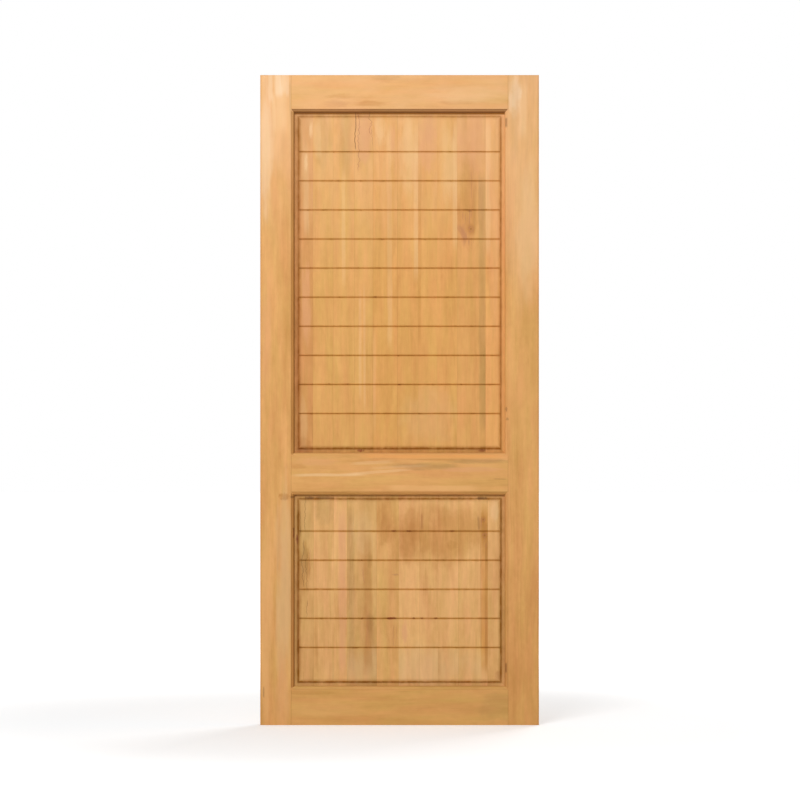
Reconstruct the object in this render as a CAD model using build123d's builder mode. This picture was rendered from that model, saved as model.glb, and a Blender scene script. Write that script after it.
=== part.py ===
from build123d import *
import os

# A door leaf of solid wood: two stiles, three rails and two raised panels.
# +Z is up, +X is to the right and the front face looks along -Y.
# The origin is at the middle of the leaf's bottom edge. Lengths are in millimetres.

# Leaf
leaf_width = 900
leaf_height = 2100
leaf_thickness = 40
arris_radius = 1.5

# Stiles and rails, each measured over its moulding
stile_width = 110
top_rail_height = 121
lock_rail_height = 137
bottom_rail_height = 126
lower_opening_height = 617

# Moulding along the inner edges: a small step, a flat and a quarter round
moulding_width = 11
moulding_step = 1.5
moulding_radius = 9.5

# Grooves for the panels, and the air that lets a panel swell and shrink
groove_width = 12
groove_depth = 12
tongue_play = 0.15
side_air = 3
top_air = 2

# Haunched tenons of the rails, as thick as the groove, in blind mortises of the stiles
tenon_length = 70
tenon_end_gap = 2
haunch_height = 35
glue_gap = 0.1

# Raised field of a panel, inside a flat margin
margin_width = 12
field_rise = 6
round_width = 10
round_drop = 3.5

# Level V-grooves across the fields
vee_pitch = 94
vee_width = 3.6
vee_depth = 3
lower_vee_lift = 4

# Rough widths of a panel's boards from left to right, before they are planed to fill it
upper_board_widths = [69, 65, 69, 60, 79, 67, 62, 64, 92, 71]
lower_board_widths = [71, 66, 42, 96, 71, 68, 59, 66, 95, 64]

# Places that follow from the sizes
face = leaf_thickness / 2
opening_width = leaf_width - 2 * stile_width
opening_side = opening_width / 2
groove_floor_side = opening_side + groove_depth
lock_rail_base = bottom_rail_height + lower_opening_height
upper_opening_base = lock_rail_base + lock_rail_height
top_rail_base = leaf_height - top_rail_height
upper_opening_height = top_rail_base - upper_opening_base

os.makedirs("parts", exist_ok=True)


def save(piece, name):
    """Label a finished piece and write it under its name."""
    piece.label = name
    export_step(piece, f"parts/{name}.step")


# The leaf's outline with its long edges eased, which trims every outer piece
with BuildPart() as eased_leaf:
    with BuildSketch(Plane.XZ):
        Rectangle(leaf_width, leaf_height, align=(Align.CENTER, Align.MIN))
    extrude(amount=face, both=True)
    fillet(eased_leaf.edges().filter_by(Axis.Y, reverse=True), arris_radius)

# What the moulding and the groove take off a member whose edge is at x = 0, wood towards +x
with BuildSketch() as edge_cut:
    with BuildLine():
        round_start = (moulding_radius, face - moulding_step)
        round_end = (0, face - moulding_step - moulding_radius)
        Polyline((0, face), (moulding_width, face), (moulding_width, round_start[1]), round_start)
        RadiusArc(round_start, round_end, -moulding_radius)
        Line(round_end, (0, face))
    make_face()
    mirror(about=Plane.XZ)
    with Locations((groove_depth / 2, 0)):
        Rectangle(groove_depth, groove_width)


def member_section(width, near_moulded, far_moulded):
    """Section of a stile or rail, x over its width from the near edge and y over its thickness."""
    with BuildSketch() as section:
        with Locations((width / 2, 0)):
            Rectangle(width, leaf_thickness)
        if near_moulded:
            add(edge_cut.sketch, mode=Mode.SUBTRACT)
        if far_moulded:
            mirror(edge_cut.sketch, about=Plane.YZ.offset(width / 2), mode=Mode.SUBTRACT)
    return section.sketch


def tenon_slab(rail_base, rail_height, groove_below, groove_above, room=0):
    """Slab that holds a rail's two tenons, with room to spare for its mortises."""
    low = rail_base + (groove_depth if groove_below else haunch_height)
    high = rail_base + rail_height - (groove_depth if groove_above else haunch_height)
    reach = opening_side + tenon_length + (tenon_end_gap if room else 0)
    with BuildPart() as slab:
        with BuildSketch(Plane.XZ):
            with Locations((0, (low + high) / 2)):
                Rectangle(2 * reach, high - low + 2 * room)
        extrude(amount=groove_width / 2 - glue_gap + room, both=True)
    return slab.part


# Each rail: height of its lower edge, height, groove below, groove above
rails = {
    "bottom": (0, bottom_rail_height, False, True),
    "lock": (lock_rail_base, lock_rail_height, True, True),
    "top": (top_rail_base, top_rail_height, True, False),
}

# Stiles, grooved and moulded from end to end, with a mortise for each rail
stile_section = member_section(stile_width, False, True)
with BuildPart() as left_stile:
    with BuildSketch(Plane.XY):
        with Locations((-leaf_width / 2, 0)):
            add(stile_section)
    extrude(amount=leaf_height)
    add(eased_leaf.part, mode=Mode.INTERSECT)
    for rail_place in rails.values():
        add(tenon_slab(*rail_place, room=glue_gap), mode=Mode.SUBTRACT)
save(left_stile.part, "left_stile")

with BuildPart() as right_stile:
    mirror(left_stile.part, about=Plane.YZ)
save(right_stile.part, "right_stile")

# The stiles' outline with room for glue, which scribes the rails' ends
with BuildSketch(Plane.XY) as scribe:
    with Locations((-leaf_width / 2, 0)):
        add(stile_section)
    offset(amount=glue_gap, kind=Kind.INTERSECTION)
    mirror(about=Plane.YZ)

# Rails, run between the floors of the stiles' grooves, scribed over the moulding and tenoned
for rail_name, rail_place in rails.items():
    rail_base, rail_height, groove_below, groove_above = rail_place
    with BuildPart() as rail:
        rail_start = Plane((-groove_floor_side, 0, rail_base), x_dir=(0, 0, 1), z_dir=(1, 0, 0))
        with BuildSketch(rail_start):
            add(member_section(rail_height, groove_below, groove_above))
        extrude(amount=2 * groove_floor_side)
        extrude(scribe.sketch, amount=leaf_height, mode=Mode.SUBTRACT)
        add(eased_leaf.part, mode=Mode.INTERSECT)
        add(tenon_slab(*rail_place))
    save(rail.part, f"{rail_name}_rail")


def field_section(span, reach):
    """Section of the raised field over a span, standing out by its reach on both faces."""
    radius = (round_width**2 + round_drop**2) / (2 * round_drop)
    with BuildSketch() as section:
        with BuildLine():
            flat_end = (span / 2 - round_width, reach)
            shoulder = (span / 2, reach - round_drop)
            Polyline(shoulder, (span / 2, 0), (0, 0), (0, reach), flat_end)
            RadiusArc(flat_end, shoulder, radius)
        make_face()
        mirror(about=Plane.XZ)
        mirror(about=Plane.YZ)
    return section.sketch


def glue_up_panel(opening_base, opening_height, vee_lift):
    """The whole panel of an opening, glued up, raised on both faces and grooved."""
    tongue_half = groove_width / 2 - tongue_play
    field_half = tongue_half + field_rise
    field_width = opening_width - 2 * margin_width
    field_height = opening_height - 2 * margin_width
    middle = opening_base + opening_height / 2
    vee_count = int(field_height // vee_pitch) - 1
    upright = Plane((0, 0, middle), x_dir=(0, 0, 1), z_dir=(1, 0, 0))
    with BuildPart() as panel:
        with BuildSketch(Plane.XY.offset(middle)):
            add(field_section(field_width, field_half))
        extrude(amount=field_height / 2, both=True)
        with BuildSketch(upright):
            add(field_section(field_height, field_half))
        extrude(amount=field_width / 2, both=True, mode=Mode.INTERSECT)
        with BuildSketch(upright):
            with Locations((vee_lift, 0)):
                with GridLocations(vee_pitch, 2 * field_half, vee_count, 2):
                    Polygon((-vee_width / 2, 0), (0, -vee_depth), (vee_width / 2, 0), (0, vee_depth))
        extrude(amount=field_width / 2, both=True, mode=Mode.SUBTRACT)
        with BuildSketch(Plane.XZ):
            with Locations((0, opening_base - groove_depth)):
                tongue_width = opening_width + 2 * (groove_depth - side_air)
                tongue_height = opening_height + 2 * groove_depth - top_air
                Rectangle(tongue_width, tongue_height, align=(Align.CENTER, Align.MIN))
        extrude(amount=tongue_half, both=True)
    return panel.part


def save_boards(panel, board_widths, panel_name):
    """Part a panel along its glue lines and save each board."""
    box = panel.bounding_box()
    scale = box.size.X / sum(board_widths)
    left = box.min.X
    for number, rough_width in enumerate(board_widths, start=1):
        width = rough_width * scale
        with BuildPart() as board:
            add(panel)
            with BuildSketch(Plane.XY):
                with Locations((left + width / 2, 0)):
                    Rectangle(width, leaf_thickness)
            extrude(amount=leaf_height, mode=Mode.INTERSECT)
        save(board.part, f"{panel_name}_board_{number:02d}")
        left += width


# Panels, with their lower ends standing on the floors of the rails' grooves
upper_panel = glue_up_panel(upper_opening_base, upper_opening_height, 0)
save_boards(upper_panel, upper_board_widths, "upper")
lower_panel = glue_up_panel(bottom_rail_height, lower_opening_height, lower_vee_lift)
save_boards(lower_panel, lower_board_widths, "lower")
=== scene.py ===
import math
import random
from collections import namedtuple

import bpy
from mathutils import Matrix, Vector


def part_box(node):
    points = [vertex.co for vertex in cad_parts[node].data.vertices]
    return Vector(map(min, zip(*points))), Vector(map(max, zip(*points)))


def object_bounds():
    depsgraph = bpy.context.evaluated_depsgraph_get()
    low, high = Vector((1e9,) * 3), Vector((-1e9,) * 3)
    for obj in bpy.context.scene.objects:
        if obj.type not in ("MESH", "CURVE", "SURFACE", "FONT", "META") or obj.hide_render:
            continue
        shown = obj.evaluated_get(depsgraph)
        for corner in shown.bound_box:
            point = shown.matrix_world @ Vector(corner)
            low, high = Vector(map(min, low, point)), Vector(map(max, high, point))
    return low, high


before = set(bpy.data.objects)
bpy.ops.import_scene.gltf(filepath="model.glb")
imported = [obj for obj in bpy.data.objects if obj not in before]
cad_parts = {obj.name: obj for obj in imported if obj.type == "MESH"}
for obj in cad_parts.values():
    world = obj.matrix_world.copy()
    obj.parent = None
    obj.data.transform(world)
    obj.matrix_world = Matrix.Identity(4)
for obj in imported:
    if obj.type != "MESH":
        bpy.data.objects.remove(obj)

# The door leaf's looks: soft studio light and a wood finish for every board, rail and stile.
# +Z is up, +X is to the right and the front face looks along -Y. Lengths are in metres.

kept_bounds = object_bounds()
leaf_low, leaf_high = kept_bounds

# Places of the frame that the finish follows
opening_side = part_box("right_stile")[0].x
lower_opening_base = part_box("bottom_rail")[1].z
lower_opening_top, upper_opening_base = (corner.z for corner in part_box("lock_rail"))
upper_opening_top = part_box("top_rail")[0].z
moulding_width = 0.011
margin_width = 0.012
joint_side = opening_side + moulding_width
vee_pitch = 0.094

# How far the settled stain and painted shade reach: from the crease round a field, up its slope, and in
# a V-groove
crease_reach = 0.006
slope_reach = 0.014
vee_reach = 0.00612

# How strongly the grain shows in the frame; each panel has its own strength
stile_figure = 0.92
rail_figure = 0.75


def linear(red, green, blue):
    """Shader colour of a screen colour whose parts run from 0 to 255."""
    parts = [part / 255 for part in (red, green, blue)]
    return (*[p / 12.92 if p <= 0.04045 else ((p + 0.055) / 1.055) ** 2.4 for p in parts], 1)


def scaled(colour, red, green, blue):
    """A colour with each part multiplied."""
    return (colour[0] * red, colour[1] * green, colour[2] * blue, 1)


# Tones of the frame and of the boards
honey = linear(220, 163, 94)
ochre = linear(215, 162, 91)
straw = linear(219, 163, 91)
peach = linear(219, 159, 86)
amber = linear(220, 161, 88)
rose = linear(209, 148, 84)
tan = linear(219, 160, 90)
maize = linear(219, 166, 98)
coral = linear(230, 166, 96)
wheat = linear(224, 172, 107)
fawn = linear(214, 164, 99)
clay = linear(228, 175, 110)

# The two ends between which the hue of the wood drifts
greener = (0.97, 1.01, 0.96, 1)
redder = (1.03, 0.975, 1.05, 1)


def laid(red, green, blue):
    """A finish whose colour covers the wood."""
    return "MIX", linear(red, green, blue)


def soaked(red, green, blue):
    """A finish that soaks in: the wood is multiplied by its colour, and its grain still shows."""
    return "MULTIPLY", linear(red, green, blue)


# Finishes that lie on the wood in patches, and the colours of painted shade and highlight
cream = laid(243, 206, 156)
ivory = laid(242, 214, 178)
sand = laid(218, 182, 134)
apricot = laid(236, 180, 116)
# An orange for a painted highlight
painted_highlight_orange = laid(238, 166, 90)
blush = laid(240, 190, 142)
pink = laid(222, 160, 114)
plum = laid(178, 116, 82)
bark = laid(112, 66, 28)
# A brown that soaks in, for pores, grain lines, marks and dark joints, and for painted shade in
# creases, on mouldings and under rails
bronze_stain_and_shade = soaked(172, 143, 50)
# A colour for the painted shade and settled stain in the V-grooves
syrup_stain_and_shade = soaked(203, 178, 40)
rust = soaked(170, 96, 58)
honeydew = soaked(232, 212, 170)
moss = soaked(226, 230, 232)
umber = soaked(216, 194, 152)
# A grey brown for the painted shade on the top rail's moulding, which faces down
painted_shade_brown = soaked(158, 138, 108)


class Signal:
    """A shader value that takes plain arithmetic; each operation adds nodes to its tree."""

    def __init__(self, tree, socket):
        self.tree = tree
        self.socket = socket

    def maths(self, operation, *others):
        node = self.tree.nodes.new("ShaderNodeMath")
        node.operation = operation
        for place, value in zip(node.inputs, (self, *others)):
            plug(self.tree, place, value)
        return Signal(self.tree, node.outputs[0])

    def __add__(self, other):
        return self.maths("ADD", other)

    def __sub__(self, other):
        return self.maths("SUBTRACT", other)

    def __rsub__(self, other):
        return self * -1 + other

    def __mul__(self, other):
        return self.maths("MULTIPLY", other)

    def __truediv__(self, other):
        return self.maths("DIVIDE", other)

    def __abs__(self):
        return self.maths("ABSOLUTE")

    def smooth(self, start, end):
        """0 up to start and 1 from end on, with a soft change between; start may be the higher."""
        node = self.tree.nodes.new("ShaderNodeMapRange")
        node.interpolation_type = "SMOOTHSTEP"
        plug(self.tree, node.inputs["Value"], self)
        node.inputs["From Min"].default_value = start
        node.inputs["From Max"].default_value = end
        return Signal(self.tree, node.outputs["Result"])


def plug(tree, place, value):
    """Give an input a fixed value, or join it to a signal."""
    if isinstance(value, Signal):
        tree.links.new(value.socket, place)
    else:
        place.default_value = value


def blend(kind, factor, under, over):
    """Lay one colour over another by a factor from 0 to 1."""
    tree = next(part.tree for part in (factor, under, over) if isinstance(part, Signal))
    node = tree.nodes.new("ShaderNodeMix")
    node.data_type = "RGBA"
    node.blend_type = kind
    plug(tree, node.inputs["Factor"], factor)
    plug(tree, node.inputs[6], under)
    plug(tree, node.inputs[7], over)
    return Signal(tree, node.outputs[2])


def lay(factor, wood, finish):
    """Lay a finish on the wood by a factor from 0 to 1."""
    kind, colour = finish
    return blend(kind, factor, wood, colour)


def split(tree, vector):
    """The three parts of a vector."""
    node = tree.nodes.new("ShaderNodeSeparateXYZ")
    tree.links.new(vector, node.inputs[0])
    return [Signal(tree, part) for part in node.outputs]


class Timber:
    """The place of each point in one piece of wood: along its grain, across it and in its depth."""

    def __init__(self, name, upright):
        self.material = bpy.data.materials.new(name)
        self.material.use_nodes = True
        self.tree = self.material.node_tree
        self.tree.nodes.clear()
        self.luck = random.Random(name)
        coordinates = self.tree.nodes.new("ShaderNodeTexCoord")
        self.x, self.y, self.z = split(self.tree, coordinates.outputs["Object"])
        self.along, across = (self.z, self.x) if upright else (self.x, self.z)
        # The grain's own line, which wanders a little across the wood
        self.lane = across
        self.lane += self.noise(0.09, 0.5, detail=1) * 0.010
        self.lane += self.noise(0.02, 0.12, detail=1) * 0.0016
        low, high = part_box(name)
        self.middle = (low.x + high.x) / 2 if upright else (low.z + high.z) / 2
        self.front = self.y.smooth(high.y * 0.75, low.y * 0.45)

    def noise(self, width, length, detail=2, roughness=0.5):
        """Noise from about -1 to 1 whose blots are so wide across the grain and so long along it."""
        join = self.tree.nodes.new("ShaderNodeCombineXYZ")
        shift = self.luck.uniform(0, 90)
        plug(self.tree, join.inputs[0], self.lane / width + shift)
        plug(self.tree, join.inputs[1], self.y / width + shift)
        plug(self.tree, join.inputs[2], self.along / length + shift)
        node = self.tree.nodes.new("ShaderNodeTexNoise")
        node.inputs["Scale"].default_value = 1
        node.inputs["Detail"].default_value = detail
        node.inputs["Roughness"].default_value = roughness
        self.tree.links.new(join.outputs[0], node.inputs["Vector"])
        return (Signal(self.tree, node.outputs[0]) - 0.5) * 2

    def ellipse(self, x, z, half_width, half_height):
        """0 at a place, 1 on an upright ellipse round it and more outside."""
        right = (self.x - x) / half_width
        up = (self.z - z) / half_height
        return right * right + up * up

    def near(self, x, z, half_width, half_height):
        """1 at a place, fading to 0 over an upright ellipse round it."""
        return self.ellipse(x, z, half_width, half_height).smooth(1, 0)

    def bend_round(self, x, z, radius):
        """Let the grain of an upright board run round a knot."""
        reach = self.near(x, z, radius * 3, radius * 8)
        turned = (self.x - x).smooth(-radius * 3, radius * 3)
        self.lane -= reach * turned * radius * 1.6

    def rings(self):
        """Growth rings round a pith that lies aside and behind the face, a little out of line."""
        pith_aside = self.luck.uniform(-0.03, 0.03)
        pith_depth = self.luck.uniform(0.05, 0.11)
        slope = self.luck.uniform(-0.03, 0.03)
        spacing = self.luck.uniform(0.0045, 0.007)
        aside = self.lane - (self.middle + pith_aside)
        deep = self.y - pith_depth + self.along * slope
        turns = (aside * aside + deep * deep).maths("SQRT") / spacing
        part = (turns + self.noise(0.06, 0.3, detail=1) * 0.8).maths("FRACT")
        return part * part * part.smooth(1, 0.9)


def patch(x, z, half_width, half_height, finish, strength):
    """A soft patch on the front, drawn out and ragged along the grain."""
    narrow, long = sorted((half_width, half_height))

    def paint(timber, wood):
        ragged = timber.noise(narrow * 0.8, long * 0.6, detail=4, roughness=0.6) * 1.1
        reach = (timber.ellipse(x, z, half_width, half_height) + ragged).smooth(1.1, 0)
        return lay(reach * timber.front * strength, wood, finish)

    return paint


def streak(start, end, half_width, finish, strength):
    """A long mark on the front from one place to another, uneven along its sides."""
    (start_x, start_z), (end_x, end_z) = start, end
    length = math.hypot(end_x - start_x, end_z - start_z)
    step_x = (end_x - start_x) / length
    step_z = (end_z - start_z) / length
    longest_taper = 0.06
    taper = min(length / 4, longest_taper)

    def paint(timber, wood):
        right = timber.x - start_x
        up = timber.z - start_z
        along = right * step_x + up * step_z
        aside = abs(right * step_z - up * step_x) / half_width
        aside += timber.noise(half_width * 1.5, 0.08, detail=3) * 0.45
        reach = aside.smooth(1.2, 0.5)
        reach *= along.smooth(0, taper) * along.smooth(length, length - taper)
        reach *= timber.noise(half_width * 3, 0.12) * 0.5 + 0.85
        return lay(reach * timber.front * strength, wood, finish)

    return paint


def check(x, low, high, half_width, finish=bark, wander=0.008, strength=0.8):
    """A thin crack along the grain on the front of an upright board."""

    def paint(timber, wood):
        line = timber.x - x + timber.noise(0.2, 0.045, detail=5, roughness=0.7) * wander
        reach = abs(line).smooth(half_width, half_width * 0.3)
        reach *= timber.z.smooth(low - 0.004, low + 0.012)
        reach *= timber.z.smooth(high + 0.004, high - 0.012)
        return lay(reach * timber.front * strength, wood, finish)

    return paint


def knot(x, z, radius):
    """A small knot: a dark eye in a broken ring, and dark grain that parts above and below it."""

    def paint(timber, wood):
        ragged = timber.noise(0.006, 0.008, detail=2) * 0.35
        distance = timber.ellipse(x, z, radius, radius * 1.2).maths("SQRT") + ragged
        colour = lay(distance.smooth(5, 1) * 0.48, wood, umber)
        broken = timber.noise(0.004, 0.006).smooth(-0.3, 0.2)
        ring = distance.smooth(1.0, 1.5) * distance.smooth(2.6, 2.0) * broken
        colour = lay(ring * 0.56, colour, plum)
        hairs = timber.noise(0.0035, 0.05).smooth(0.10, 0.35)
        hairs *= timber.near(x, z, radius * 4, radius * 18) * distance.smooth(1.5, 3)
        colour = lay(hairs * 0.64, colour, plum)
        return lay(distance.smooth(1.1, 0.3) * 0.40, colour, bark)

    return paint


def grain(timber, figure):
    """How pale the wood is: streaks from broad to fine, a ripple and the rings, stronger where busy."""
    busy = timber.noise(0.06, 0.35, detail=1).smooth(-0.25, 0.45)
    level = timber.noise(0.040, 0.36) * 0.44
    level += timber.noise(0.018, 0.10, detail=5, roughness=0.6) * 0.42
    level += timber.noise(0.009, 0.17, detail=3) * busy * 0.20
    level += timber.noise(0.0025, 0.08, detail=3) * (busy * 0.16 + 0.08)
    level += timber.noise(0.015, 0.022, detail=3) * 0.16
    level -= timber.rings() * (busy * 0.14 + 0.04)
    return level * figure + 0.5


def wood_colour(timber, tone, figure):
    """Colour of the bare wood: its grain, drifts of hue, pores, dark lines and flecks, with painted
    light that makes it paler and pinker towards the top.
    """
    deep = scaled(tone, 0.80, 0.73, 0.62)
    pale = scaled(tone, 1.16, 1.22, 1.32)
    colour = blend("MIX", grain(timber, figure), deep, pale)
    drift = timber.noise(0.030, 0.20, detail=3) * 1.5 + 0.5
    colour = blend("MULTIPLY", 1, colour, blend("MIX", drift, greener, redder))
    pores = timber.noise(0.0007, 0.012, detail=1).smooth(0.42, 0.62)
    colour = lay(pores * 0.2, colour, bronze_stain_and_shade)
    lines = timber.noise(0.0014, 0.22, detail=1).smooth(0.30, 0.55)
    lines *= timber.noise(0.012, 0.09).smooth(-0.1, 0.4)
    colour = lay(lines * 0.30, colour, bronze_stain_and_shade)
    flecks = timber.noise(0.004, 0.007, detail=3, roughness=0.6).smooth(0.48, 0.68)
    colour = lay(flecks * 0.35, colour, umber)
    # Painted light: paler and pinker towards the top, where more light falls
    painted_light_above = timber.z.smooth(1.35, 2.05) * (timber.noise(0.03, 0.12, detail=3) * 0.35 + 0.28)
    return lay(painted_light_above, colour, blush)


def finish_surface(timber, colour):
    """Close the material: a thin matt seal over fibres that can just be felt."""
    shader = timber.tree.nodes.new("ShaderNodeBsdfPrincipled")
    output = timber.tree.nodes.new("ShaderNodeOutputMaterial")
    bump = timber.tree.nodes.new("ShaderNodeBump")
    fibres = timber.noise(0.0012, 0.05, detail=2)
    bump.inputs["Strength"].default_value = 0.35
    bump.inputs["Distance"].default_value = 0.0004
    plug(timber.tree, bump.inputs["Height"], fibres)
    plug(timber.tree, shader.inputs["Base Color"], colour)
    plug(timber.tree, shader.inputs["Roughness"], fibres * 0.12 + 0.58)
    shader.inputs["IOR"].default_value = 1.42
    shader.inputs["Specular IOR Level"].default_value = 0.3
    timber.tree.links.new(bump.outputs[0], shader.inputs["Normal"])
    timber.tree.links.new(shader.outputs[0], output.inputs[0])
    return timber.material


def edge_stain_and_shade(distance, crease, slope, margin):
    """Painted shade and settled stain by a panel's edge: in the crease of its field, up the slope, on
    the margin.
    """
    past_crease = distance - margin_width
    in_crease = past_crease.smooth(-crease_reach, -0.0005) * past_crease.smooth(crease_reach, 0.001)
    on_slope = past_crease.smooth(-0.001, 0.001) * past_crease.smooth(slope_reach, 0.002)
    on_margin = past_crease.smooth(0.001, -0.001)
    return in_crease * crease + on_slope * slope + on_margin * margin


def stain_and_shade_edges(timber, colour, panel):
    """Painted shade and settled stain along a panel's four sides, mitred in its corners, and the
    painted shadow line under the rail.
    """
    from_side = opening_side - abs(timber.x)
    from_above = panel.top - timber.z
    from_end = (timber.z - panel.base).maths("MINIMUM", from_above)
    beside = (from_end - from_side).smooth(-0.002, 0.002)
    right = timber.x.smooth(-0.01, 0.01)
    above = (timber.z - (panel.base + panel.top) / 2).smooth(-0.01, 0.01)
    broken = timber.noise(0.02, 0.03, detail=3) * 0.75 + 1
    places = {
        "left": (from_side, beside * (1 - right)),
        "right": (from_side, beside * right),
        "bottom": (from_end, (1 - beside) * (1 - above)),
        "top": (from_end, (1 - beside) * above),
    }
    # Painted shade mixed with settled stain along each side, of the strengths given for it
    for side, strengths in panel.edges.items():
        distance, within = places[side]
        colour = lay(edge_stain_and_shade(distance, *strengths) * within * broken, colour, bronze_stain_and_shade)
    # A painted shadow, with some dirt, on the margin just under the rail above the panel
    return lay(from_above.smooth(0.007, 0.0045) * panel.under_rail, colour, bronze_stain_and_shade)


def stain_and_shade_vees(timber, colour, panel):
    """Settled stain and painted shade in the V-grooves, with a darker blot here and there."""
    from_middle = timber.z - panel.vee_middle
    turn = (from_middle / vee_pitch + (panel.vee_count % 2) / 2).maths("FRACT") - 0.5
    in_vee = (abs(turn) * vee_pitch).smooth(vee_reach, 0)
    last_turn = vee_pitch * panel.vee_count / 2
    in_vee *= abs(from_middle).smooth(last_turn, last_turn - 0.01)
    field_side = opening_side - margin_width
    in_vee *= abs(timber.x).smooth(field_side - 0.001, field_side - 0.006)
    blot = timber.noise(0.02, 0.02, detail=3)
    # Painted shade, with settled stain, deep in each V-groove
    colour = lay(in_vee * (blot * 0.7 + 1) * panel.vee_stain, colour, syrup_stain_and_shade)
    return lay(in_vee * blot.smooth(0.25, 0.6) * 0.8, colour, rust)


def board_material(name, tone, panel, marks, knots):
    """Wood of a panel board, with settled stain and painted shade along the panel's edges and in its
    V-grooves.
    """
    timber = Timber(name, upright=True)
    for place in knots:
        timber.bend_round(*place)
    colour = wood_colour(timber, tone, panel.figure)
    for mark in marks + [knot(*place) for place in knots]:
        colour = mark(timber, colour)
    colour = stain_and_shade_edges(timber, colour, panel)
    colour = stain_and_shade_vees(timber, colour, panel)
    low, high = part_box(name)
    from_joint = (timber.x - low.x).maths("MINIMUM", high.x - timber.x)
    joint_strength = timber.luck.uniform(0.0, 0.25)
    colour = lay(from_joint.smooth(0.0012, 0.0003) * joint_strength, colour, bronze_stain_and_shade)
    return finish_surface(timber, colour)


def stain_and_shade_moulding(from_lip, strength, within=1):
    """How much painted shade, with some stain, lies on a moulding, from its lip to its outer step;
    darkest at the lip and by the step.
    """
    on_moulding = from_lip.smooth(moulding_width + 0.0012, moulding_width - 0.0006)
    deeper = from_lip.smooth(moulding_width * 0.7, 0) * 0.25 + 0.70
    deeper += from_lip.smooth(moulding_width - 0.003, moulding_width - 0.001) * 0.25
    return on_moulding * deeper * within * strength


def end_grain(timber, colour):
    """Darker sawn ends, on which the rings show as arcs."""
    geometry = timber.tree.nodes.new("ShaderNodeNewGeometry")
    up = split(timber.tree, geometry.outputs["Normal"])[2]
    at_end = abs(up).smooth(0.7, 0.95)
    colour = lay(at_end * 0.5, colour, umber)
    return lay(timber.rings() * at_end * 0.5, colour, bronze_stain_and_shade)


def stile_material(name, tone, side, upper, lower, marks):
    """Wood of a stile, with painted shade and some stain on its moulding beside each panel, and warmer
    along its outer edge.
    """
    timber = Timber(name, upright=True)
    colour = wood_colour(timber, tone, stile_figure)
    for mark in marks:
        colour = mark(timber, colour)
    from_lock = timber.z - (lower_opening_top + upper_opening_base) / 2
    lock_half = (upper_opening_base - lower_opening_top) / 2
    beside_panels = timber.z.smooth(lower_opening_base - moulding_width, lower_opening_base)
    beside_panels *= timber.z.smooth(upper_opening_top + moulding_width, upper_opening_top)
    beside_panels *= abs(from_lock).smooth(lock_half - moulding_width, lock_half)
    # Painted shade, with some stain, on the moulding beside each panel; upper and lower give its
    # strength
    strength = from_lock.smooth(-0.01, 0.01) * (upper - lower) + lower
    from_lip = timber.x * side - opening_side
    colour = lay(stain_and_shade_moulding(from_lip, strength, beside_panels), colour, bronze_stain_and_shade)
    from_outside = leaf_high.x - timber.x * side
    colour = lay(from_outside.smooth(0.007, 0.001) * 0.5, colour, honeydew)
    colour = end_grain(timber, colour)
    return finish_surface(timber, colour)


def rail_material(name, tone, below, above, marks, below_finish=bronze_stain_and_shade):
    """Wood of a rail, with painted shade and some stain on the mouldings below and above it, and darker
    at its joints.
    """
    timber = Timber(name, upright=False)
    colour = wood_colour(timber, tone, rail_figure)
    for mark in marks:
        colour = mark(timber, colour)
    low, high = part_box(name)
    # Painted shade, with some stain, on the mouldings below and above the rail
    colour = lay(stain_and_shade_moulding(timber.z - low.z, below), colour, below_finish)
    colour = lay(stain_and_shade_moulding(high.z - timber.z, above), colour, bronze_stain_and_shade)
    joint = abs(timber.x).smooth(joint_side - 0.0022, joint_side - 0.0004)
    colour = lay(joint * 0.45, colour, bronze_stain_and_shade)
    return finish_surface(timber, colour)


# A paler stretch low on the middle boards of the upper panel
upper_fade = patch(0.100, 0.990, 0.120, 0.110, sand, 0.18)

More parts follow.
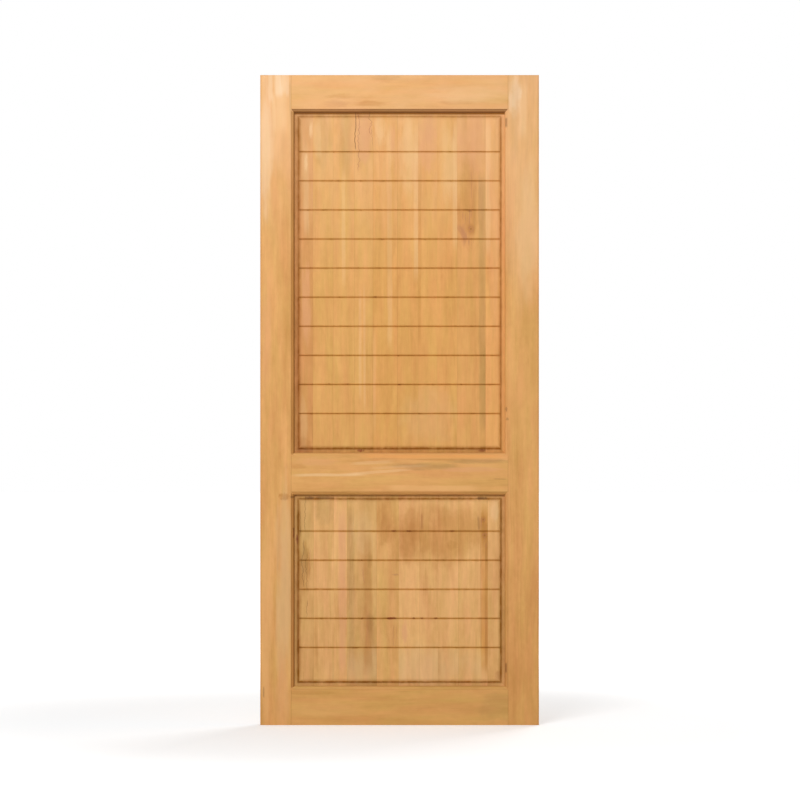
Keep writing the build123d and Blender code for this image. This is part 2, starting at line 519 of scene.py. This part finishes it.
# Tone, marks and knots of the upper panel's boards, from left to right; a knot is x, z and radius
upper_boards = [
    (rose, [
        streak((-0.304, 1.90), (-0.300, 1.56), 0.010, cream, 0.20),
        patch(-0.304, 1.930, 0.030, 0.080, moss, 0.25),
        patch(-0.302, 1.35, 0.018, 0.16, pink, 0.5),
        patch(-0.286, 1.925, 0.007, 0.032, cream, 0.42),
        patch(-0.303, 1.815, 0.007, 0.036, cream, 0.42),
        patch(-0.310, 0.960, 0.016, 0.110, cream, 0.15),
        patch(-0.310, 0.900, 0.030, 0.040, umber, 0.35),
    ], []),
    (straw, [
        patch(-0.246, 1.900, 0.036, 0.130, moss, 0.36),
        streak((-0.268, 1.96), (-0.262, 1.82), 0.012, cream, 0.22),
    ], []),
    (straw, [
        patch(-0.180, 1.890, 0.036, 0.140, moss, 0.38),
        streak((-0.182, 1.82), (-0.180, 1.40), 0.007, cream, 0.18),
        streak((-0.226, 1.55), (-0.222, 1.20), 0.006, cream, 0.20),
    ], []),
    (straw, [
        patch(-0.116, 1.900, 0.032, 0.120, moss, 0.34),
        patch(-0.115, 1.900, 0.030, 0.090, pink, 0.60),
        streak((-0.128, 1.42), (-0.127, 1.03), 0.0050, cream, 0.20),
        streak((-0.114, 1.44), (-0.113, 1.00), 0.0040, cream, 0.18),
        check(-0.143, 1.857, 1.985, 0.0017),
        check(-0.130, 1.790, 1.985, 0.0013, plum, 0.022),
        check(-0.100, 1.905, 1.985, 0.0013, plum, 0.030),
        check(-0.089, 1.870, 1.930, 0.0012, plum, 0.010, 0.6),
        patch(-0.126, 0.887, 0.014, 0.006, rust, 0.80),
    ], []),
    (peach, [
        streak((-0.083, 1.30), (-0.081, 0.92), 0.006, cream, 0.12),
        streak((-0.034, 1.96), (-0.031, 1.20), 0.009, cream, 0.18),
        patch(-0.062, 1.925, 0.022, 0.060, cream, 0.26),
        patch(-0.024, 1.900, 0.013, 0.065, pink, 0.45),
    ], []),
    (amber, [
        upper_fade,
        patch(0.030, 1.850, 0.034, 0.150, cream, 0.26),
        streak((0.055, 1.97), (0.054, 1.42), 0.009, cream, 0.24),
    ], []),
    (amber, [
        upper_fade,
        patch(0.092, 1.930, 0.034, 0.060, moss, 0.28),
        patch(0.092, 1.880, 0.034, 0.110, pink, 0.60),
        streak((0.066, 1.80), (0.064, 1.20), 0.006, umber, 0.30),
    ], []),
    (amber, [
        upper_fade,
        patch(0.154, 1.820, 0.032, 0.150, cream, 0.22),
        streak((0.182, 1.97), (0.181, 1.52), 0.010, cream, 0.28),
    ], []),
    (tan, [
        patch(0.232, 1.880, 0.060, 0.130, pink, 0.45),
        patch(0.222, 1.690, 0.040, 0.170, umber, 0.40),
        patch(0.207, 1.585, 0.013, 0.045, plum, 0.30),
        streak((0.186, 1.622), (0.219, 1.560), 0.0085, plum, 0.50),
        streak((0.266, 1.80), (0.269, 0.93), 0.012, moss, 0.85),
        patch(0.268, 0.887, 0.016, 0.006, rust, 0.60),
        check(0.205, 1.630, 1.660, 0.0012, plum, 0.004, 0.8),
        check(0.213, 1.625, 1.655, 0.0012, plum, 0.004, 0.7),
        check(0.226, 1.615, 1.672, 0.0012, plum, 0.006, 0.8),
        check(0.232, 1.700, 1.790, 0.0011, plum, 0.006, 0.5),
        patch(0.227, 1.661, 0.008, 0.005, bark, 0.35),
    ], [(0.2305, 1.603, 0.0042)]),
    (coral, [
        streak((0.285, 1.98), (0.285, 1.50), 0.010, cream, 0.30),
        patch(0.306, 1.560, 0.022, 0.330, pink, 0.25),
    ], []),
]

# The brown stain that runs over the middle boards of the lower panel
lower_stain = patch(0.130, 0.615, 0.190, 0.115, umber, 0.60)

# A paler stretch along the foot of the lower panel
lower_fade = patch(0.060, 0.190, 0.300, 0.080, sand, 0.34)

# The same for the lower panel's boards
lower_boards = [
    (fawn, [
        lower_fade,
        patch(-0.304, 0.650, 0.030, 0.110, moss, 0.34),
        patch(-0.290, 0.734, 0.020, 0.005, bark, 0.62),
        patch(-0.331, 0.602, 0.005, 0.020, rust, 0.75),
        check(-0.305, 0.625, 0.733, 0.0013, bark, 0.014, 0.55),
        check(-0.322, 0.600, 0.690, 0.0012, bark, 0.010, 0.50),
        check(-0.312, 0.445, 0.600, 0.0013, bark, 0.014, 0.50),
        check(-0.300, 0.430, 0.560, 0.0012, bark, 0.016, 0.45),
        check(-0.291, 0.480, 0.570, 0.0011, plum, 0.012, 0.55),
        check(-0.299, 0.345, 0.405, 0.0012, bark, 0.012, 0.50),
        patch(-0.305, 0.500, 0.024, 0.100, umber, 0.60),
        patch(-0.308, 0.520, 0.014, 0.070, moss, 0.60),
        streak((-0.326, 0.720), (-0.326, 0.150), 0.010, umber, 0.35),
    ], []),
    (wheat, [
        lower_fade,
        patch(-0.246, 0.700, 0.036, 0.060, moss, 0.42),
        patch(-0.240, 0.734, 0.040, 0.005, bark, 0.50),
        streak((-0.272, 0.560), (-0.270, 0.150), 0.007, umber, 0.30),
    ], []),
    (clay, [streak((-0.186, 0.720), (-0.184, 0.150), 0.013, pink, 0.60)], []),
    (fawn, [
        lower_fade,
        patch(-0.120, 0.620, 0.040, 0.090, cream, 0.16),
        streak((-0.158, 0.720), (-0.156, 0.150), 0.012, moss, 0.55),
        streak((-0.103, 0.640), (-0.102, 0.150), 0.016, umber, 0.55),
        patch(-0.096, 0.535, 0.010, 0.030, bronze_stain_and_shade, 0.22),
        check(-0.118, 0.455, 0.510, 0.0011, plum, 0.014, 0.7),
        patch(-0.096, 0.330, 0.016, 0.040, bronze_stain_and_shade, 0.25),
        patch(-0.092, 0.300, 0.014, 0.060, moss, 0.35),
        check(-0.106, 0.250, 0.330, 0.0011, plum, 0.010, 0.45),
    ], []),
    (maize, [
        patch(-0.050, 0.660, 0.040, 0.090, umber, 0.48),
        lower_stain,
        patch(-0.026, 0.3450, 0.020, 0.005, rust, 0.80),
        patch(-0.018, 0.6270, 0.010, 0.004, rust, 0.60),
        streak((-0.015, 0.340), (-0.014, 0.180), 0.012, umber, 0.38),
        patch(-0.012, 0.486, 0.014, 0.004, plum, 0.45),
        check(-0.020, 0.250, 0.325, 0.0010, plum, 0.006, 0.50),
        check(-0.008, 0.265, 0.330, 0.0010, plum, 0.005, 0.45),
    ], []),
    (clay, [
        lower_fade,
        lower_stain,
        patch(0.030, 0.610, 0.038, 0.110, umber, 0.36),
        patch(0.016, 0.300, 0.012, 0.045, pink, 0.60),
        patch(0.030, 0.6270, 0.010, 0.004, rust, 0.60),
        patch(0.046, 0.3450, 0.006, 0.004, rust, 0.60),
    ], []),
    (clay, [
        lower_fade,
        lower_stain,
        streak((0.072, 0.690), (0.072, 0.625), 0.005, rust, 0.35),
        patch(0.072, 0.3450, 0.006, 0.004, rust, 0.60),
        patch(0.117, 0.3450, 0.008, 0.004, rust, 0.60),
    ], []),
    (clay, [
        lower_fade,
        lower_stain,
        patch(0.170, 0.580, 0.022, 0.018, umber, 0.30),
        patch(0.170, 0.6270, 0.010, 0.004, rust, 0.50),
        streak((0.128, 0.260), (0.128, 0.150), 0.008, umber, 0.35),
    ], []),
    (clay, [
        lower_fade,
        lower_stain,
        streak((0.275, 0.735), (0.276, 0.140), 0.014, honeydew, 0.90),
        streak((0.280, 0.620), (0.280, 0.160), 0.0045, bronze_stain_and_shade, 0.32),
        streak((0.262, 0.620), (0.263, 0.220), 0.0030, bronze_stain_and_shade, 0.22),
        streak((0.254, 0.680), (0.258, 0.625), 0.004, bark, 0.35),
        patch(0.266, 0.733, 0.024, 0.006, bark, 0.60),
        patch(0.170, 0.733, 0.060, 0.004, bark, 0.30),
    ], [(0.2748, 0.613, 0.0032), (0.270, 0.664, 0.0026)]),
    (wheat, [
        patch(0.306, 0.690, 0.016, 0.050, cream, 0.30),
        patch(0.318, 0.160, 0.012, 0.020, rust, 0.25),
    ], []),
]

# What the finish of a panel follows: its opening, its V-grooves, and how strong each stain and painted
# shade is
Panel = namedtuple("Panel", "base top vee_middle vee_count vee_stain edges under_rail figure")

# Settled stain and painted shade along each side of a panel: in the crease, up the slope and on the
# margin
upper_edges = {
    "left": (0.18, 0.62, 0.46),
    "right": (0.26, 0.34, 0.16),
    "bottom": (0.28, 0.66, 0.42),
    "top": (0.32, 0.16, 0.18),
}
lower_edges = {
    "left": (0.55, 0.34, 0.36),
    "right": (0.44, 0.44, 0.38),
    "bottom": (0.48, 0.40, 0.26),
    "top": (0.48, 0.36, 0.36),
}

# Each panel's strengths of painted shade and stain; the painted shadow under the rail above is weaker
# on the lower panel
upper_panel = Panel(
    base=upper_opening_base,
    top=upper_opening_top,
    vee_middle=(upper_opening_base + upper_opening_top) / 2,
    vee_count=10,
    vee_stain=0.52,
    edges=upper_edges,
    under_rail=1.0,
    figure=0.78,
)

# The lower panel's V-grooves lie a little above its middle
lower_vee_lift = 0.004
lower_panel = Panel(
    base=lower_opening_base,
    top=lower_opening_top,
    vee_middle=(lower_opening_base + lower_opening_top) / 2 + lower_vee_lift,
    vee_count=5,
    vee_stain=0.60,
    edges=lower_edges,
    under_rail=0.6,
    figure=1.05,
)


def dress(name, material):
    """Put a material on every slot of a node of the frame."""
    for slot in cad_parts[name].material_slots:
        slot.material = material


def dress_panel(prefix, boards, panel):
    """Give each board of a panel its own wood."""
    for number, (tone, marks, knots) in enumerate(boards, start=1):
        name = f"{prefix}_board_{number:02d}"
        dress(name, board_material(name, tone, panel, marks, knots))


def dress_stile(name, **looks):
    """Give a stile its own wood."""
    dress(name, stile_material(name, **looks))


def dress_rail(name, **looks):
    """Give a rail its own wood."""
    dress(name, rail_material(name, **looks))


dress_panel("upper", upper_boards, upper_panel)
dress_panel("lower", lower_boards, lower_panel)

left_marks = [
    patch(-0.400, 1.980, 0.090, 0.250, blush, 0.30),
    streak((-0.384, 2.098), (-0.380, 1.900), 0.020, cream, 0.25),
    streak((-0.352, 2.098), (-0.350, 1.950), 0.006, moss, 0.60),
    patch(-0.372, 0.738, 0.022, 0.014, umber, 0.90),
    patch(-0.347, 0.737, 0.007, 0.005, bark, 0.60),
    patch(-0.342, 0.633, 0.004, 0.007, bark, 0.55),
    streak((-0.439, 0.130), (-0.439, 0.085), 0.003, bark, 0.60),
    streak((-0.394, 2.125), (-0.389, 2.020), 0.014, ivory, 0.60),
    streak((-0.373, 2.125), (-0.371, 2.030), 0.008, ivory, 0.42),
    streak((-0.408, 2.060), (-0.404, 1.900), 0.006, cream, 0.35),
    streak((-0.418, 2.125), (-0.416, 2.000), 0.008, ivory, 0.36),
    streak((-0.362, 2.125), (-0.362, 2.020), 0.005, ivory, 0.42),
    patch(-0.434, 1.850, 0.030, 0.270, ivory, 0.34),
    streak((-0.368, 1.940), (-0.366, 0.980), 0.015, umber, 0.22),
    patch(-0.375, 0.430, 0.032, 0.380, sand, 0.44),
    patch(-0.432, 0.350, 0.028, 0.360, apricot, 0.48),
    patch(-0.430, 1.250, 0.020, 0.250, pink, 0.25),
    patch(-0.380, 0.100, 0.026, 0.180, pink, 0.25),
    patch(-0.339, 0.618, 0.007, 0.020, rust, 0.60),
]
# The left stile's moulding faces away from the light and gets much painted shade; the right stile's
# gets little
dress_stile("left_stile", tone=honey, side=-1, upper=0.68, lower=0.78, marks=left_marks)

right_marks = [
    patch(0.400, 1.850, 0.090, 0.550, blush, 0.25),
    streak((0.400, 2.098), (0.396, 1.880), 0.015, cream, 0.35),
    patch(0.374, 2.040, 0.026, 0.080, ivory, 0.45),
    patch(0.412, 1.600, 0.044, 0.240, cream, 0.26),
    streak((0.372, 2.098), (0.370, 1.800), 0.012, moss, 0.25),
    patch(0.410, 0.250, 0.090, 0.450, umber, 0.20),
    streak((0.3445, 1.966), (0.3445, 1.928), 0.0036, bark, 0.55),
    patch(0.3450, 1.020, 0.004, 0.010, bark, 0.50),
    patch(0.3480, 0.989, 0.006, 0.006, bark, 0.35),
    streak((0.3440, 0.205), (0.3440, 0.165), 0.0036, bark, 0.75),
]
dress_stile("right_stile", tone=honey, side=1, upper=0.08, lower=0.30, marks=right_marks)

top_marks = [
    patch(-0.045, 2.092, 0.060, 0.010, moss, 0.50),
    patch(-0.208, 2.006, 0.050, 0.016, plum, 0.20),
    patch(0.180, 2.012, 0.060, 0.012, umber, 0.20),
    patch(0.230, 2.036, 0.170, 0.036, cream, 0.24),
    patch(-0.095, 2.008, 0.070, 0.011, umber, 0.38),
    patch(-0.190, 2.032, 0.050, 0.012, umber, 0.26),
]
# The top rail's moulding faces down and gets strong painted shade in grey brown
dress_rail("top_rail", tone=honey, below=1.10, above=0.0, marks=top_marks, below_finish=painted_shade_brown)

lock_marks = [
    streak((-0.362, 0.8070), (-0.090, 0.8095), 0.0050, cream, 0.45),
    streak((-0.200, 0.8080), (0.060, 0.8280), 0.0050, cream, 0.28),
    streak((-0.170, 0.8440), (-0.010, 0.8520), 0.0055, cream, 0.32),
    streak((-0.110, 0.8280), (0.110, 0.8400), 0.0050, cream, 0.20),
    patch(0.080, 0.836, 0.130, 0.014, moss, 0.90),
    patch(0.260, 0.852, 0.110, 0.009, moss, 0.90),
    patch(0.120, 0.858, 0.090, 0.004, umber, 0.40),
    patch(0.235, 0.826, 0.120, 0.010, pink, 0.40),
    patch(-0.270, 0.850, 0.080, 0.018, pink, 0.30),
    patch(-0.330, 0.835, 0.030, 0.010, umber, 0.25),
    # A painted highlight along the lip of the lock rail's upper moulding
    streak((-0.150, 0.8690), (0.360, 0.8680), 0.0070, painted_highlight_orange, 0.62),
    patch(-0.120, 0.8520, 0.140, 0.0100, umber, 0.20),
    streak((-0.060, 0.7660), (0.280, 0.7660), 0.0100, apricot, 0.60),
    streak((0.300, 0.7955), (0.350, 0.7945), 0.0020, bark, 0.30),
]
# The lock rail's lower moulding gets painted shade and its upper one none
dress_rail("lock_rail", tone=honey, below=0.52, above=0.0, marks=lock_marks)

bottom_marks = [
    patch(-0.210, 0.020, 0.180, 0.016, umber, 0.12),
    patch(-0.290, 0.104, 0.100, 0.008, umber, 0.22),
    patch(-0.240, 0.050, 0.140, 0.030, apricot, 0.25),
    patch(0.320, 0.060, 0.080, 0.060, moss, 0.40),
]
# The bottom rail's moulding gets a little painted shade
dress_rail("bottom_rail", tone=ochre, below=0.0, above=0.10, marks=bottom_marks)


def seen_by(tree, *rays):
    """1 for rays of the named kinds, 0 for all others."""
    path = tree.nodes.new("ShaderNodeLightPath")
    seen = Signal(tree, path.outputs[rays[0]])
    for ray in rays[1:]:
        seen = seen.maths("MAXIMUM", Signal(tree, path.outputs[ray]))
    return seen


def light_the_world():
    """White behind everything that is looked at, and an even grey light on the object."""
    world = bpy.data.worlds.new("studio")
    bpy.context.scene.world = world
    world.use_nodes = True
    tree = world.node_tree
    tree.nodes.clear()
    seen = seen_by(tree, "Is Camera Ray", "Is Glossy Ray", "Is Transmission Ray")
    background = tree.nodes.new("ShaderNodeBackground")
    output = tree.nodes.new("ShaderNodeOutputWorld")
    background.inputs["Color"].default_value = (1, 1, 1, 1)
    ambient = 0.30
    plug(tree, background.inputs["Strength"], seen * (1 - ambient) + ambient)
    tree.links.new(background.outputs[0], output.inputs[0])


def add_lamp(name, place, aim, size, power):
    """A square soft box that faces a point."""
    lamp = bpy.data.lights.new(name, "AREA")
    lamp.size = size
    lamp.energy = power
    body = bpy.data.objects.new(name, lamp)
    body.location = place
    body.rotation_euler = (Vector(aim) - Vector(place)).to_track_quat("-Z", "Y").to_euler()
    bpy.context.scene.collection.objects.link(body)


def floor_material():
    """Matt white that keeps a shadow near the leaf and melts into the white round it further away."""
    material = bpy.data.materials.new("floor")
    material.use_nodes = True
    tree = material.node_tree
    shader = tree.nodes["Principled BSDF"]
    shader.inputs["Base Color"].default_value = (0.88, 0.88, 0.88, 1)
    shader.inputs["Roughness"].default_value = 0.9
    shader.inputs["Emission Color"].default_value = (1, 1, 1, 1)
    seen = seen_by(tree, "Is Camera Ray", "Is Glossy Ray")
    place = tree.nodes.new("ShaderNodeTexCoord")
    length = tree.nodes.new("ShaderNodeVectorMath")
    length.operation = "LENGTH"
    tree.links.new(place.outputs["Object"], length.inputs[0])
    away = Signal(tree, length.outputs["Value"]).smooth(1.0, 3.0)
    plug(tree, shader.inputs["Emission Strength"], seen * (away * 0.50 + 0.30))
    return material


def add_floor():
    """A plain floor that the leaf stands on."""
    reach = 30
    corners = [(x * reach, y * reach, leaf_low.z) for x, y in ((-1, -1), (1, -1), (1, 1), (-1, 1))]
    mesh = bpy.data.meshes.new("floor")
    mesh.from_pydata(corners, [], [(0, 1, 2, 3)])
    mesh.materials.append(floor_material())
    floor = bpy.data.objects.new("floor", mesh)
    bpy.context.scene.collection.objects.link(floor)


def add_camera():
    """A straight view of the front, from far enough away to be almost without perspective."""
    lens = bpy.data.cameras.new("camera")
    lens.sensor_width = 36
    lens.lens = 167.2
    camera = bpy.data.objects.new("camera", lens)
    camera.location = (0.0013, -12.02, 1.0503)
    camera.rotation_euler = (math.pi / 2, 0, 0)
    bpy.context.scene.collection.objects.link(camera)
    bpy.context.scene.camera = camera


light_the_world()
add_lamp("key", place=(-1.2, -4.7, 2.7), aim=(0, 0, 1.1), size=1.8, power=144)
add_lamp("top light", place=(-0.4, -1.2, 2.8), aim=(0, 0, 1.9), size=0.6, power=3.5)
add_lamp("back light", place=(2.2, 4.5, 2.9), aim=(0, 0, 1.1), size=2.4, power=122)
add_floor()
add_camera()
bpy.context.scene.view_settings.view_transform = "Standard"
